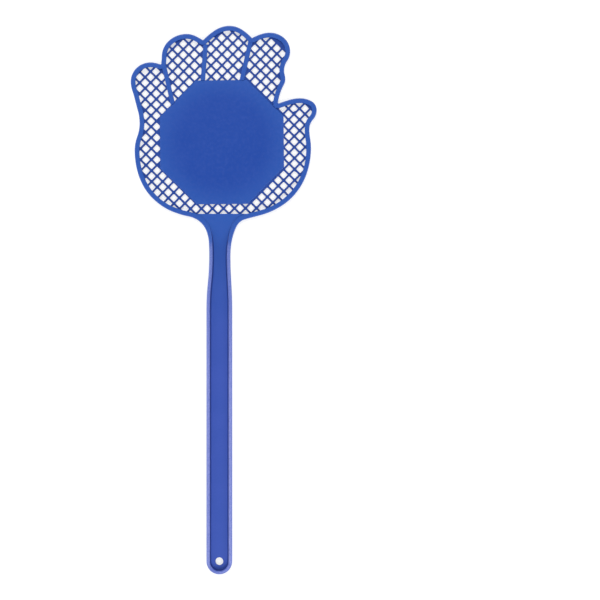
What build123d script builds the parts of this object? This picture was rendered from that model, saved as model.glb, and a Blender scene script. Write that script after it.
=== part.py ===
from build123d import *
import os
from math import atan2, cos, degrees, hypot, radians, sin, sqrt

# A hand-shaped fly swatter, moulded in one shot of plastic, divided where the moulding changes
# its thickness or its job.
# Frame: the hang hole's axis is the Z axis and Z = 0 is the flat underside.
# +Y runs up the handle to the fingertips, +X is towards the thumb. All sizes are in mm.

# Handle
handle_width = 20.2
handle_taper_start = 200.0
hang_hole_radius = 3.1
web_thickness = 2.0
bead_height = 5.0
bead_outer_radius = 2.0
bead_inner_radius = 0.5
bead_wall_run = 1.3

# Neck: the blade between handle and head that flexes
neck_start = 242.0
neck_end = 270.0
neck_waist = 241.0
neck_left = -7.9
neck_right = 8.7

# Border: the raised edge that runs round the whole moulding
border_width = 3.7
rim_thickness = 2.4
rim_edge_radius = 0.8
underside_radius = 0.4
valley_radius = 0.7

# Palm plate, finger dividers and mesh
palm_centre = (2.0, 331.6)
palm_sides = 8
palm_flats = 98.0
palm_thickness = 1.8
palm_chamfer = 0.3
divider_width = 3.5
divider_thickness = 2.2
divider_radius = 0.4
pattern_turn = 0.6
grid_centre = (2.65, 331.5)
mesh_cells = 28
mesh_pitch = 6.16
mesh_opening = 4.5
mesh_corner = 0.6
mesh_thickness = 1.4
mesh_draft = 6.0
mesh_lower_edge = 274.9
least_opening_area = 2.1

# Outline stations, anticlockwise: x, y and the direction of travel in degrees.
# A valley is the bottom of the notch between two fingers.
thumb_valley = (46.2, 362.0)
index_valley = (25.8, 413.9)
middle_valley = (-13.0, 412.2)
ring_valley = (-46.0, 392.9)
half_handle = handle_width / 2
right_side_and_thumb = [
    (half_handle, 0, 90),
    (half_handle, handle_taper_start, 90),
    (neck_right, neck_waist, 90),
    (11.9, 261, 70),
    (16.2, 268.3, 41),
    (24.5, 271.7, 15),
    (36.5, 275, 19),
    (59, 289.5, 48),
    (72.5, 327, 90),
    (71.2, 342, 90),
    (77, 357, 90),
    (64, 366.3, 180),
    (*thumb_valley, 200),
]
index_finger = [
    (*thumb_valley, 84),
    (49.5, 374, 66),
    (52.2, 381.5, 90),
    (51.2, 388.3, 90),
    (56, 403.5, 90),
    (40, 418.2, 180),
    (*index_valley, 209),
]
middle_finger = [
    (*index_valley, 132),
    (8, 423.6, 180),
    (*middle_valley, 226),
]
ring_finger = [
    (*middle_valley, 146),
    (-26, 417.2, 180),
    (-45.6, 399, 270),
    (*ring_valley, 270),
]
little_finger_and_left_side = [
    (*ring_valley, 160),
    (-54.5, 394.7, 180),
    (-70.1, 379.5, 270),
    (-67, 366, 284),
    (-63.1, 346.5, 270),
    (-67, 325, 270),
    (-60.5, 297.5, 298),
    (-46, 281.5, 325),
    (-30, 274.2, 344),
    (-19, 271, 333),
    (-10.1, 261, 290),
    (neck_left, neck_waist, 270),
    (-half_handle, handle_taper_start, 270),
    (-half_handle, 0, 270),
]
valleys = [thumb_valley, index_valley, middle_valley, ring_valley]

# Centre lines of the bars that part the fingers' mesh, from the rim to under the palm plate
divider_lines = {
    "divider_little_ring": ((-44.8, 396), (-36.4, 360)),
    "divider_ring_middle": ((-10.9, 409), (-13.1, 380)),
    "divider_middle_index": ((25.0, 413), (17.6, 380)),
}
thumb_web_line = (thumb_valley, (41.0, 357.0))

# Rim and mesh are parted along lines from the palm's centre: angles in degrees, from +X
little_angle = 128.3
ring_angle = 100.7
middle_angle = 74.2
index_angle = 34.7
neck_angle = 270.0
side_angle = 360 / palm_sides
corner = [side_angle * (number - 0.5) + pattern_turn for number in range(palm_sides + 1)]
rim_spans = {
    "rim_thumb": (corner[1], index_angle),
    "rim_index_finger": (index_angle, middle_angle),
    "rim_middle_finger": (middle_angle, ring_angle),
    "rim_ring_finger": (ring_angle, little_angle),
    "rim_little_finger": (little_angle, corner[4]),
    "rim_left_side": (corner[4], corner[5]),
    "rim_lower_left": (corner[5], neck_angle),
    "rim_lower_right": (neck_angle, corner[8]),
    "rim_right_side": (corner[0], corner[1]),
}
side_mesh_spans = {
    "mesh_thumb": (corner[1], corner[2]),
    "mesh_little_finger": (corner[3], corner[4]),
    "mesh_left_side": (corner[4], corner[5]),
    "mesh_lower_left": (corner[5], corner[6]),
    "mesh_bottom": (corner[6], corner[7]),
    "mesh_lower_right": (corner[7], corner[8]),
    "mesh_right_side": (corner[0], corner[1]),
}

# Limits for cutting: the ends of the moulding on Y, and lengths that reach past every edge
handle_end = -half_handle
head_top = 430.0
reach = 130.0
overcut = 1.0

# Fillets leave out the edges of the faces that are cut across the neck
cut_gap = 0.01
below_cut = (Axis.Y, handle_end - overcut, neck_start - cut_gap)
above_cut = (Axis.Y, neck_end + cut_gap, head_top)
nearly_zero = 1e-9

os.makedirs("parts", exist_ok=True)


def flowing_edge(stations):
    """Join stations with pairs of tangent arcs, so that the edge has no corner between its ends"""
    for (x1, y1, turn1), (x2, y2, turn2) in zip(stations, stations[1:]):
        start, end = Vector(x1, y1), Vector(x2, y2)
        leave = Vector(cos(radians(turn1)), sin(radians(turn1)))
        arrive = Vector(cos(radians(turn2)), sin(radians(turn2)))
        chord = end - start
        along = chord.dot(leave + arrive)
        bend = 1 - leave.dot(arrive)
        if bend < nearly_zero:
            arm = chord.dot(chord) / (2 * along)
        else:
            arm = (sqrt(along**2 + 2 * bend * chord.dot(chord)) - along) / (2 * bend)
        middle = (start + leave * arm + end - arrive * arm) * 0.5
        if bend < nearly_zero and abs(chord.cross(leave).Z) < nearly_zero:
            Line(start, end)
        else:
            TangentArc(start, middle, tangent=leave)
            TangentArc(end, middle, tangent=-arrive)


def band(low, high):
    """Keep only what lies between two heights on Y in the active sketch"""
    with Locations((0, (low + high) / 2)):
        Rectangle(2 * reach, high - low, mode=Mode.INTERSECT)


def wedge(start, end, mode=Mode.ADD):
    """A sector about the palm's centre, between two angles"""
    centre = Vector(*palm_centre)
    steps = [start, (start + end) / 2, end]
    corners = [centre + Vector(reach, 0).rotate(Axis.Z, angle) for angle in steps]
    Polygon(centre, *corners, align=None, mode=mode)


def bar(line, width, mode=Mode.ADD):
    """A straight bar of a given width about a centre line"""
    (x1, y1), (x2, y2) = line
    turn = degrees(atan2(y2 - y1, x2 - x1))
    with Locations(Location(((x1 + x2) / 2, (y1 + y2) / 2, 0), (0, 0, turn))):
        Rectangle(hypot(x2 - x1, y2 - y1), width, mode=mode)


def from_outline(edge):
    """How far in from the moulding's outline the middle of an edge lies, seen from above"""
    middle = edge @ 0.5
    return outline.face().outer_wire().distance_to(Vector(middle.X, middle.Y))


def finish(part, name):
    """Name a piece and write it"""
    part.label = name
    export_step(part, f"parts/{name}.step")


# Flat areas that the pieces are cut from
with BuildSketch() as outline:
    with BuildLine():
        flowing_edge(right_side_and_thumb)
        flowing_edge(index_finger)
        flowing_edge(middle_finger)
        flowing_edge(ring_finger)
        flowing_edge(little_finger_and_left_side)
        ThreePointArc((-half_handle, 0), (0, -half_handle), (half_handle, 0))
    make_face()
    for valley in valleys:
        fillet(outline.vertices().sort_by_distance(valley)[0], valley_radius)

with BuildSketch() as palm_area:
    with Locations(palm_centre):
        RegularPolygon(palm_flats / 2, palm_sides, major_radius=False, rotation=corner[1])

with BuildSketch() as inner_area:
    add(outline.sketch)
    offset(amount=-border_width)
    bar(thumb_web_line, divider_width, mode=Mode.SUBTRACT)

with BuildSketch() as border_area:
    add(outline.sketch)
    add(inner_area.sketch, mode=Mode.SUBTRACT)
    add(palm_area.sketch, mode=Mode.SUBTRACT)

with BuildSketch() as divider_area:
    for line in divider_lines.values():
        bar(line, divider_width)

with BuildSketch() as mesh_area:
    add(inner_area.sketch)
    band(mesh_lower_edge, head_top)
    add(palm_area.sketch, mode=Mode.SUBTRACT)
    add(divider_area.sketch, mode=Mode.SUBTRACT)

# The handle: a channel with a rounded bead round both sides and the end
with BuildPart() as handle_body:
    with BuildSketch():
        add(outline.sketch)
        band(handle_end, neck_start)
    extrude(amount=bead_height)
    top_edges = handle_body.edges().group_by(Axis.Z)[-1]
    fillet(top_edges.filter_by_position(*below_cut), bead_outer_radius)
    floor_edges = handle_body.edges().group_by(Axis.Z)[0]
    fillet(floor_edges.filter_by_position(*below_cut), underside_radius)
    with BuildSketch(Plane.XY.offset(web_thickness)):
        add(inner_area.sketch)
        band(handle_end, neck_start)
    with BuildSketch(Plane.XY.offset(bead_height)):
        add(outline.sketch)
        offset(amount=bead_wall_run - border_width)
        band(handle_end, neck_start)
    loft(mode=Mode.SUBTRACT)
    crest_middle = (bead_outer_radius + border_width - bead_wall_run) / 2
    crest_edges = handle_body.edges().group_by(Axis.Z)[-1].filter_by_position(*below_cut)
    fillet(crest_edges.filter_by(lambda edge: from_outline(edge) > crest_middle), bead_inner_radius)

with BuildPart() as handle_web:
    with BuildSketch():
        add(inner_area.sketch)
        band(handle_end, neck_start)
    extrude(amount=web_thickness)
    Hole(hang_hole_radius)
finish(handle_web.part, "handle_web")

with BuildPart() as handle_bead:
    add(handle_body.part)
    with BuildSketch():
        add(inner_area.sketch)
        band(handle_end, neck_start)
    extrude(amount=web_thickness, mode=Mode.SUBTRACT)
finish(handle_bead.part, "handle_bead")

# The neck: the channel runs out into the head and its border sinks to the rim's height
with BuildPart() as neck:
    with BuildSketch():
        add(outline.sketch)
        band(neck_start, neck_end)
    extrude(amount=bead_height)
    with BuildSketch(Plane.XY.offset(web_thickness)):
        add(inner_area.sketch)
        band(neck_start - overcut, neck_end + overcut)
    extrude(amount=bead_height, mode=Mode.SUBTRACT)
    with BuildSketch(Plane.YZ):
        with BuildLine():
            middle = ((neck_start + neck_end) / 2, (bead_height + rim_thickness) / 2)
            high = TangentArc((neck_start, bead_height), middle, tangent=(1, 0))
            low = TangentArc((neck_end, rim_thickness), middle, tangent=(-1, 0))
            Polyline(low @ 0, (neck_end, 2 * bead_height), (neck_start, 2 * bead_height), high @ 0)
        make_face()
    extrude(amount=reach, both=True, mode=Mode.SUBTRACT)
finish(neck.part, "neck")

# The root of the head: the floor between the neck and the lowest row of mesh
with BuildPart() as head_root:
    with BuildSketch():
        add(inner_area.sketch)
        band(neck_end, mesh_lower_edge)
    extrude(amount=web_thickness)
finish(head_root.part, "head_root")

# The head's rim: one rounded border, parted at the valleys and the palm's corners
with BuildPart() as rim_body:
    with BuildSketch():
        add(outline.sketch)
        band(neck_end, head_top)
    extrude(amount=rim_thickness)
    top_edges = rim_body.edges().group_by(Axis.Z)[-1]
    fillet(top_edges.filter_by_position(*above_cut), rim_edge_radius)
    floor_edges = rim_body.edges().group_by(Axis.Z)[0]
    fillet(floor_edges.filter_by_position(*above_cut), underside_radius)
    with BuildSketch():
        add(border_area.sketch)
    extrude(amount=rim_thickness, mode=Mode.INTERSECT)

for name, (start, end) in rim_spans.items():
    with BuildPart() as rim_piece:
        add(rim_body.part)
        with BuildSketch():
            wedge(start, end)
        extrude(amount=rim_thickness, mode=Mode.INTERSECT)
    finish(rim_piece.part, name)

# The palm plate: a flat octagon, which fills the hand inside the mesh
with BuildPart() as palm_plate:
    with BuildSketch():
        add(palm_area.sketch)
    extrude(amount=palm_thickness)
    chamfer(palm_plate.edges().group_by(Axis.Z)[-1], palm_chamfer)
finish(palm_plate.part, "palm_plate")

# The bars between the fingers
for name, line in divider_lines.items():
    with BuildPart() as divider:
        with BuildSketch():
            bar(line, divider_width)
            add(inner_area.sketch, mode=Mode.INTERSECT)
            add(palm_area.sketch, mode=Mode.SUBTRACT)
        extrude(amount=divider_thickness)
        long_edges = divider.edges().group_by(Axis.Z)[-1].sort_by(SortBy.LENGTH)[-2:]
        fillet(long_edges, divider_radius)
    finish(divider.part, name)

# The mesh: one diagonal grid of square openings under the whole head, which the rim, the dividers
# and the palm plate cut off
grid_place = Location((*grid_centre, 0), (0, 0, side_angle + pattern_turn))
grid_spots = [grid_place * spot for spot in GridLocations(mesh_pitch, mesh_pitch, mesh_cells, mesh_cells)]


def openings_in(field):
    """The grid's openings that this field holds enough of to be worth opening"""
    box = field.bounding_box()
    openings = []
    for spot in grid_spots:
        past_x = abs(spot.position.X - box.center().X) - box.size.X / 2
        past_y = abs(spot.position.Y - box.center().Y) - box.size.Y / 2
        if max(past_x, past_y) < mesh_opening:
            shared = field & (spot * Rectangle(mesh_opening, mesh_opening))
            if shared and sum(face.area for face in shared.faces()) > least_opening_area:
                openings.append(spot)
    return openings


def mesh_piece(field, name):
    """Ribs that fill a field, with a draft on the walls of the openings"""
    openings = openings_in(field)
    with BuildPart() as piece:
        with BuildSketch():
            add(field)
        extrude(amount=mesh_thickness)
        with BuildSketch():
            with Locations(openings):
                RectangleRounded(mesh_opening, mesh_opening, mesh_corner)
        extrude(amount=mesh_thickness, taper=-mesh_draft, mode=Mode.SUBTRACT)
    finish(piece.part, name)


fields = mesh_area.faces().sort_by(SortBy.AREA)
side_field = fields[-1]
finger_fields = ShapeList(fields[:-1]).sort_by(Axis.X)
finger_names = ["mesh_ring_finger", "mesh_middle_finger", "mesh_index_finger"]
for field, name in zip(finger_fields, finger_names):
    mesh_piece(field, name)

for name, (start, end) in side_mesh_spans.items():
    with BuildSketch() as side_piece:
        add(side_field)
        wedge(start, end, mode=Mode.INTERSECT)
    mesh_piece(side_piece.sketch, name)
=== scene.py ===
from math import atan2, cos, degrees, hypot, pi, radians, sin, sqrt, tan

import bmesh
import bpy
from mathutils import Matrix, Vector


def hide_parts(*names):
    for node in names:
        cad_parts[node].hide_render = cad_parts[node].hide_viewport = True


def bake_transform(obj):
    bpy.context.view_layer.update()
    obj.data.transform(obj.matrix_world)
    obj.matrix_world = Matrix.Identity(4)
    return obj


# A hand-shaped fly swatter, moulded in blue plastic, lying on a pale studio floor.
# Frame: metres, +Y from the hang hole to the fingertips, +X towards the thumb, +Z up.
MM = 0.001

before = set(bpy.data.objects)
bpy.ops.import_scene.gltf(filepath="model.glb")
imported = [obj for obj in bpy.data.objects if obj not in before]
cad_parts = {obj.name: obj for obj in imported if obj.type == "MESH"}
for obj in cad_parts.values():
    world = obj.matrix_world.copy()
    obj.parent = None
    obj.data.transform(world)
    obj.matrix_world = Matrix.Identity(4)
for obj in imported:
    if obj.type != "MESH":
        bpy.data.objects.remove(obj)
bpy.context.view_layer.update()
scene = bpy.context.scene

# The neck repeats the sizes of the CAD part, in mm
NECK_START, NECK_END = 242.0, 270.0
BORDER_WIDTH = 3.7
FLOOR_THICKNESS = 2.0
BEAD_HEIGHT, RIM_HEIGHT = 5.0, 2.4
BEAD_RADIUS, RIM_RADIUS = 2.0, 0.8
CREST_RADIUS, SHARPEST_RADIUS = 0.5, 0.05
WALL_RUN = 1.3
UNDERSIDE_RADIUS = 0.4

# Both edges of the neck, going up: x, y and the direction of travel in degrees.
# The stations reach past both ends of the neck, and the mesh is cut back to them.
RIGHT_EDGE = [(8.7, 241, 90), (11.9, 261, 70), (16.2, 268.3, 41), (24.5, 271.7, 15)]
LEFT_EDGE = [(-7.9, 241, 90), (-10.1, 261, 110), (-19, 271, 153), (-30, 274.2, 164)]
ROWS_BETWEEN = [24, 14, 10]
FLOOR_COLUMNS = 12

# Limits for the sums: metres from a cut, metres to snap to it, and radians of turn in an arc
ON_CUT, SNAP = 1e-7, 1e-8
NEARLY_STRAIGHT = 1e-6

# In metres, as every place in the materials is
PALM_CENTRE = (0.0020, 0.3316, 0.0)

# Colours of the plastic. The ribs of the mesh are painted darker than the border round them, as painted
# shade of their narrow flanks.
HANDLE_BLUE = (0.034, 0.076, 0.385)
PALM_BLUE = (0.0035, 0.044, 0.285)
EDGE_BLUE = (0.014, 0.072, 0.335)
RIB_SHADE_BLUE = (0.004, 0.036, 0.225)
CLOUD_BLUE = (0.012, 0.056, 0.315)
SPECKLE_BLUE = (0.018, 0.066, 0.345)
# Painted shade for the inner walls of the handle's channel
WALL_SHADE_BLUE = (0.006, 0.020, 0.150)
# Painted highlight for the border's crest
CREST_HIGHLIGHT_BLUE = (0.20, 0.23, 0.52)


def place_camera():
    """A long lens straight above the middle of the photographed area"""
    view_width = 475.2 * MM
    view_centre = (63.8 * MM, 206.7 * MM)
    camera = bpy.data.objects.new("Camera", bpy.data.cameras.new("Camera"))
    camera.data.lens = 120
    camera.data.sensor_width = 36
    distance = view_width * camera.data.lens / camera.data.sensor_width
    camera.location = (*view_centre, distance)
    camera.data.clip_start = 0.1
    camera.data.clip_end = 20
    scene.collection.objects.link(camera)
    scene.camera = camera


def softbox(name, place, aim, size, strength):
    """A rectangular soft light that faces a point"""
    light = bpy.data.objects.new(name, bpy.data.lights.new(name, "AREA"))
    light.data.shape = "RECTANGLE"
    light.data.size, light.data.size_y = size
    light.data.energy = strength
    light.location = place
    light.rotation_euler = (Vector(aim) - Vector(place)).to_track_quat("-Z", "Y").to_euler()
    scene.collection.objects.link(light)


def place_lights():
    """Long softboxes low at both sides, fills behind and in front, and a tent that darkens overhead"""
    middle = (0.0, 0.2, 0)
    softbox("left_strip", (-1.35, 0.1, 0.45), middle, (2.8, 0.6), 12)
    softbox("right_strip", (1.3, -0.25, 0.55), middle, (2.4, 0.7), 11)
    softbox("back_fill", (-0.3, 2.0, 1.5), middle, (1.4, 1.0), 38)
    softbox("front_fill", (0.4, -1.6, 1.5), middle, (1.4, 1.0), 35)
    world = bpy.data.worlds.new("Studio")
    world.use_nodes = True
    tree = world.node_tree
    background = tree.nodes["Background"]
    direction = tree.nodes.new("ShaderNodeTexCoord")
    split = tree.nodes.new("ShaderNodeSeparateXYZ")
    dimming = tree.nodes.new("ShaderNodeMapRange")
    dimming.interpolation_type = "SMOOTHSTEP"
    dimming.inputs["From Min"].default_value = 0.05
    dimming.inputs["From Max"].default_value = 0.95
    dimming.inputs["To Min"].default_value = 1.0
    dimming.inputs["To Max"].default_value = 0.08
    tree.links.new(direction.outputs["Generated"], split.inputs["Vector"])
    tree.links.new(split.outputs["Z"], dimming.inputs["Value"])
    tree.links.new(dimming.outputs["Result"], background.inputs["Strength"])
    background.inputs["Color"].default_value = (1.0, 1.0, 1.0, 1.0)
    scene.world = world
    scene.view_settings.view_transform = "Standard"


def make_floor():
    """A pale floor larger than the view, so bright that its edge melts into the tent"""
    half = 1.25
    mesh = bpy.data.meshes.new("floor")
    corners = [(-half, -half, 0), (half, -half, 0), (half, half, 0), (-half, half, 0)]
    mesh.from_pydata(corners, [], [(0, 1, 2, 3)])
    floor = bpy.data.objects.new("floor", mesh)
    scene.collection.objects.link(floor)
    paint = bpy.data.materials.new("floor_paint")
    paint.use_nodes = True
    shader = paint.node_tree.nodes["Principled BSDF"]
    shader.inputs["Base Color"].default_value = (0.42, 0.42, 0.42, 1)
    shader.inputs["Roughness"].default_value = 0.6
    shader.inputs["Emission Color"].default_value = (1, 1, 1, 1)
    shader.inputs["Emission Strength"].default_value = 0.6
    mesh.materials.append(paint)


class Nodes:
    """Short calls to build one material's nodes"""

    def __init__(self, name):
        self.material = bpy.data.materials.new(name)
        self.material.use_nodes = True
        self.tree = self.material.node_tree
        self.shader = self.tree.nodes["Principled BSDF"]

    def add(self, kind, **settings):
        node = self.tree.nodes.new(kind)
        for key, value in settings.items():
            setattr(node, key, value)
        return node

    def link(self, source, target):
        self.tree.links.new(source, target)

    def math(self, operation, first, second):
        """One arithmetic step on two sockets or numbers"""
        node = self.add("ShaderNodeMath", operation=operation)
        for socket, value in zip(node.inputs, (first, second)):
            if isinstance(value, (int, float)):
                socket.default_value = value
            else:
                self.link(value, socket)
        return node.outputs[0]

    def ramp(self, value, low, high, to_low=0.0, to_high=1.0):
        """A smooth step from to_low to to_high, while a value goes from low to high"""
        node = self.add("ShaderNodeMapRange", interpolation_type="SMOOTHSTEP")
        self.link(value, node.inputs["Value"])
        limits = {"From Min": low, "From Max": high, "To Min": to_low, "To Max": to_high}
        for key, number in limits.items():
            node.inputs[key].default_value = number
        return node.outputs["Result"]

    def noise(self, vector, grain, detail):
        """Noise whose features are about one grain wide, in metres"""
        node = self.add("ShaderNodeTexNoise")
        node.inputs["Scale"].default_value = 1 / grain
        node.inputs["Detail"].default_value = detail
        self.link(vector, node.inputs["Vector"])
        return node.outputs["Fac"]

    def mix(self, factor, first, second):
        """Mix two colours"""
        node = self.add("ShaderNodeMix", data_type="RGBA")
        self.link(factor, node.inputs["Factor"])
        for socket, value in ((node.inputs["A"], first), (node.inputs["B"], second)):
            if isinstance(value, tuple):
                socket.default_value = (*value, 1)
            else:
                self.link(value, socket)
        return node.outputs["Result"]


def channel_wall_shade(n, split, height):
    """A mask for painted shade on the walls inside the handle's channel, which face its middle line or
    the hang hole
    """
    outward_line = n.add("ShaderNodeCombineXYZ")
    n.link(split.outputs["X"], outward_line.inputs["X"])
    n.link(n.math("MINIMUM", split.outputs["Y"], 0.0), outward_line.inputs["Y"])
    outward_way = n.add("ShaderNodeVectorMath", operation="NORMALIZE")
    n.link(outward_line.outputs["Vector"], outward_way.inputs[0])
    facing = n.add("ShaderNodeVectorMath", operation="DOT_PRODUCT")
    n.link(outward_way.outputs["Vector"], facing.inputs[0])
    n.link(n.add("ShaderNodeNewGeometry").outputs["Normal"], facing.inputs[1])
    inner = n.ramp(facing.outputs["Value"], -0.6, -0.2, 1.0, 0.0)
    below_crest = n.ramp(height, 4.2 * MM, 4.8 * MM, 1.0, 0.0)
    on_handle = n.ramp(split.outputs["Y"], 0.255, 0.272, 1.0, 0.0)
    return n.math("MULTIPLY", n.math("MULTIPLY", inner, below_crest), on_handle)


def crest_highlight_share(n, split, crest, crest_patches):
    """How strongly the border's crest is lightened by a painted highlight: in noisy patches, weakest
    towards the head and past the hang hole
    """
    away_from_head = n.ramp(split.outputs["Y"], 0.12, 0.24, 1.0, 0.6)
    past_end = n.ramp(split.outputs["Y"], -0.008, 0.0, 0.4, 1.0)
    highlight = n.math("MULTIPLY", n.math("MULTIPLY", crest, away_from_head), past_end)
    return n.math("MULTIPLY", highlight, n.ramp(crest_patches, 0.30, 0.60, 0.45, 0.95))


def bump(n, height, strength, distance, under=None):
    """Relief from a height socket, laid over another relief if there is one"""
    node = n.add("ShaderNodeBump")
    node.inputs["Strength"].default_value = strength
    node.inputs["Distance"].default_value = distance
    n.link(height, node.inputs["Height"])
    if under:
        n.link(under, node.inputs["Normal"])
    return node.outputs["Normal"]


def make_plastic(name, outer_blue, height_attribute=None):
    """Satin moulded plastic, with painted shade on the channel's inner walls and a painted highlight on
    the border's crest. Heights come from an attribute where the piece bends.
    """
    n = Nodes(name)
    place = n.add("ShaderNodeTexCoord").outputs["Object"]
    split = n.add("ShaderNodeSeparateXYZ")
    n.link(place, split.inputs["Vector"])
    height = split.outputs["Z"]
    if height_attribute:
        height = n.add("ShaderNodeAttribute", attribute_name=height_attribute).outputs["Fac"]

    from_palm = n.add("ShaderNodeVectorMath", operation="DISTANCE")
    n.link(place, from_palm.inputs[0])
    from_palm.inputs[1].default_value = PALM_CENTRE
    outward = n.ramp(from_palm.outputs["Value"], 0.030, 0.058)
    along_handle = n.ramp(split.outputs["Y"], 0.16, 0.28)

    flow = n.noise(place, 26 * MM, detail=3)
    mottle = n.noise(place, 2.2 * MM, detail=4)
    crest_patches = n.noise(place, 0.9 * MM, detail=5)
    texture = n.noise(place, 0.16 * MM, detail=2)

    head_blue = n.mix(outward, PALM_BLUE, outer_blue)
    blue = n.mix(along_handle, HANDLE_BLUE, head_blue)
    cloudy = n.mix(n.ramp(flow, 0.35, 0.65, 0, 0.2), blue, CLOUD_BLUE)
    speckled = n.mix(n.ramp(mottle, 0.45, 0.75, 0, 0.2), cloudy, SPECKLE_BLUE)
    # Painted shade: the channel's inner walls are darkened towards a deep blue
    wall_shade = n.math("MULTIPLY", channel_wall_shade(n, split, height), 0.85)
    shaded = n.mix(wall_shade, speckled, WALL_SHADE_BLUE)
    crest = n.ramp(height, 4.0 * MM, 4.85 * MM)
    # Painted highlight: the crest is lightened towards lavender, in noisy patches
    crest_lit = crest_highlight_share(n, split, crest, crest_patches)
    n.link(n.mix(crest_lit, shaded, CREST_HIGHLIGHT_BLUE), n.shader.inputs["Base Color"])

    dull = n.ramp(mottle, 0.30, 0.70, 0.42, 0.50)
    smoother = n.math("MULTIPLY", crest, 0.07)
    n.link(n.math("SUBTRACT", dull, smoother), n.shader.inputs["Roughness"])
    n.shader.inputs["IOR"].default_value = 1.49

    grain = bump(n, texture, 0.35, 0.02 * MM)
    n.link(bump(n, flow, 0.5, 0.25 * MM, under=grain), n.shader.inputs["Normal"])
    return n.material


def arc(start, heading, end, steps):
    """Points and headings on the circular arc that leaves a point at a heading and ends at another"""
    dx, dy = end[0] - start[0], end[1] - start[1]
    turn = atan2(dy, dx) - heading
    chord = hypot(dx, dy)
    made = []
    for step in range(1, steps + 1):
        share = step / steps
        reach = chord * (sin(turn * share) / sin(turn) if abs(turn) > NEARLY_STRAIGHT else share)
        bearing = heading + turn * share
        place = (start[0] + reach * cos(bearing), start[1] + reach * sin(bearing))
        made.append((*place, heading + 2 * turn * share))
    return made


def edge_rows(stations):
    """Points and headings along an edge of the neck, which is pairs of tangent arcs between stations"""
    x, y, heading = stations[0]
    rows = [(x, y, radians(heading))]
    for (x1, y1, turn1), (x2, y2, turn2), steps in zip(stations, stations[1:], ROWS_BETWEEN):
        chord = Vector((x2 - x1, y2 - y1))
        leave = Vector((cos(radians(turn1)), sin(radians(turn1))))
        arrive = Vector((cos(radians(turn2)), sin(radians(turn2))))
        along = chord.dot(leave + arrive)
        bend = 1 - leave.dot(arrive)
        arm = (sqrt(along**2 + 2 * bend * chord.length_squared) - along) / (2 * bend)
        middle = (Vector((x1, y1)) + leave * arm + Vector((x2, y2)) - arrive * arm) / 2
        rows += arc((x1, y1), radians(turn1), middle, steps // 2)
        rows += arc(middle, rows[-1][2], (x2, y2), steps // 2)
    return rows


def border_height(y):
    """Height of the border along the neck: two equal arcs, level where they meet handle and head"""
    half_length = (NECK_END - NECK_START) / 2
    half_drop = (BEAD_HEIGHT - RIM_HEIGHT) / 2
    radius = (half_length**2 + half_drop**2) / (2 * half_drop)
    from_start = min(max(y - NECK_START, 0), 2 * half_length)
    to_end = 2 * half_length - from_start
    if from_start < half_length:
        return BEAD_HEIGHT - radius + sqrt(radius**2 - from_start**2)
    return RIM_HEIGHT + radius - sqrt(radius**2 - to_end**2)


def round_corner(centre, radius, first, last, steps):
    """Points round a corner of the border's section, between two angles in degrees"""
    angles = [radians(first + (last - first) * step / steps) for step in range(steps + 1)]
    return [(centre[0] + radius * cos(a), centre[1] + radius * sin(a)) for a in angles]


def between(start, end, count):
    """Evenly spaced points inside a straight stretch of the section"""
    shares = [step / (count + 1) for step in range(1, count + 1)]
    return [(start[0] + (end[0] - start[0]) * s, start[1] + (end[1] - start[1]) * s) for s in shares]


def border_section(height):
    """The border's section, from under its edge, over its crest and down to the floor: (inward, up)"""
    share = (height - RIM_HEIGHT) / (BEAD_HEIGHT - RIM_HEIGHT)
    outer = RIM_RADIUS + (BEAD_RADIUS - RIM_RADIUS) * share
    inner = SHARPEST_RADIUS + (CREST_RADIUS - SHARPEST_RADIUS) * share
    run = WALL_RUN * share
    lean = degrees(atan2(run, height - FLOOR_THICKNESS))
    crest_end = BORDER_WIDTH - run - inner * tan(radians(90 - lean) / 2)
    under = round_corner((UNDERSIDE_RADIUS, UNDERSIDE_RADIUS), UNDERSIDE_RADIUS, 270, 180, 5)
    over = round_corner((outer, height - outer), outer, 180, 90, 12)
    down = round_corner((crest_end, height - inner), inner, 90, lean, 5)
    foot = (BORDER_WIDTH, FLOOR_THICKNESS)
    return [
        *under,
        *between(under[-1], over[0], 2),
        *over,
        *between(over[-1], down[0], 2),
        *down,
        *between(down[-1], foot, 2),
        foot,
    ]


def border_points(row, side):
    """One row of the border's surface. Side is 1 where the neck lies left of the way up, else -1."""
    x, y, heading = row
    inward = heading + side * pi / 2
    height_here = border_height(y)
    points = []
    for depth, up in border_section(height_here):
        px, py = x + depth * cos(inward), y + depth * sin(inward)
        rise = border_height(py) - height_here
        share = max(up - FLOOR_THICKNESS, 0) / (height_here - FLOOR_THICKNESS)
        points.append(Vector((px, py, up + rise * share)) * MM)
    return points


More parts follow.
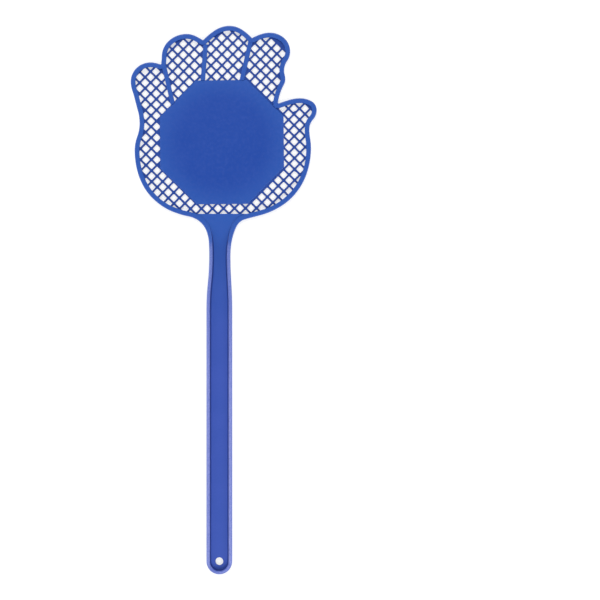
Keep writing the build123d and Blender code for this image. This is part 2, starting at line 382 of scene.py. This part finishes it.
def make_neck():
    """The flexing neck: the channel runs out into the head while its border sinks and flares"""
    mesh = bpy.data.meshes.new("neck_blade")
    bm = bmesh.new()
    rings = []
    for right, left in zip(edge_rows(RIGHT_EDGE), edge_rows(LEFT_EDGE)):
        right_side = border_points(right, 1)
        left_side = border_points(left, -1)
        shares = [column / FLOOR_COLUMNS for column in range(1, FLOOR_COLUMNS)]
        floor = [right_side[-1].lerp(left_side[-1], share) for share in shares]
        bottom = [left_side[0].lerp(right_side[0], share) for share in shares]
        rings.append([bm.verts.new(p) for p in [*right_side, *floor, *reversed(left_side), *bottom]])
    for low, high in zip(rings, rings[1:]):
        for i in range(len(low)):
            bm.faces.new((low[i - 1], low[i], high[i], high[i - 1]))
    for cut, outward in ((NECK_START, -1), (NECK_END, 1)):
        everything = [*bm.verts, *bm.edges, *bm.faces]
        place = (0, cut * MM, 0)
        bmesh.ops.bisect_plane(
            bm,
            geom=everything,
            dist=SNAP,
            plane_co=place,
            plane_no=(0, outward, 0),
            clear_outer=True,
        )
        open_edges = [edge for edge in bm.edges if edge.is_boundary]
        rim = [e for e in open_edges if all(abs(v.co.y - cut * MM) < ON_CUT for v in e.verts)]
        bmesh.ops.contextual_create(bm, geom=rim)
    bmesh.ops.recalc_face_normals(bm, faces=bm.faces)
    bm.to_mesh(mesh)
    bm.free()
    for polygon in mesh.polygons:
        polygon.use_smooth = True
    mesh.set_sharp_from_angle(angle=radians(30))
    heights = mesh.attributes.new("rest_height", "FLOAT", "POINT")
    heights.data.foreach_set("value", [vertex.co.z for vertex in mesh.vertices])
    neck = bpy.data.objects.new("neck_blade", mesh)
    scene.collection.objects.link(neck)
    mesh.materials.append(make_plastic("satin_plastic_neck", EDGE_BLUE, "rest_height"))
    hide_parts("neck")
    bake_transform(neck)


place_camera()
place_lights()
make_floor()
plastic = make_plastic("satin_plastic", EDGE_BLUE)
# Painted shade: the mesh's ribs take a darker blue than the border
rib_shade_plastic = make_plastic("satin_plastic_shaded_ribs", RIB_SHADE_BLUE)
for name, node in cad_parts.items():
    node.material_slots[0].material = rib_shade_plastic if name.startswith("mesh_") else plastic
make_neck()
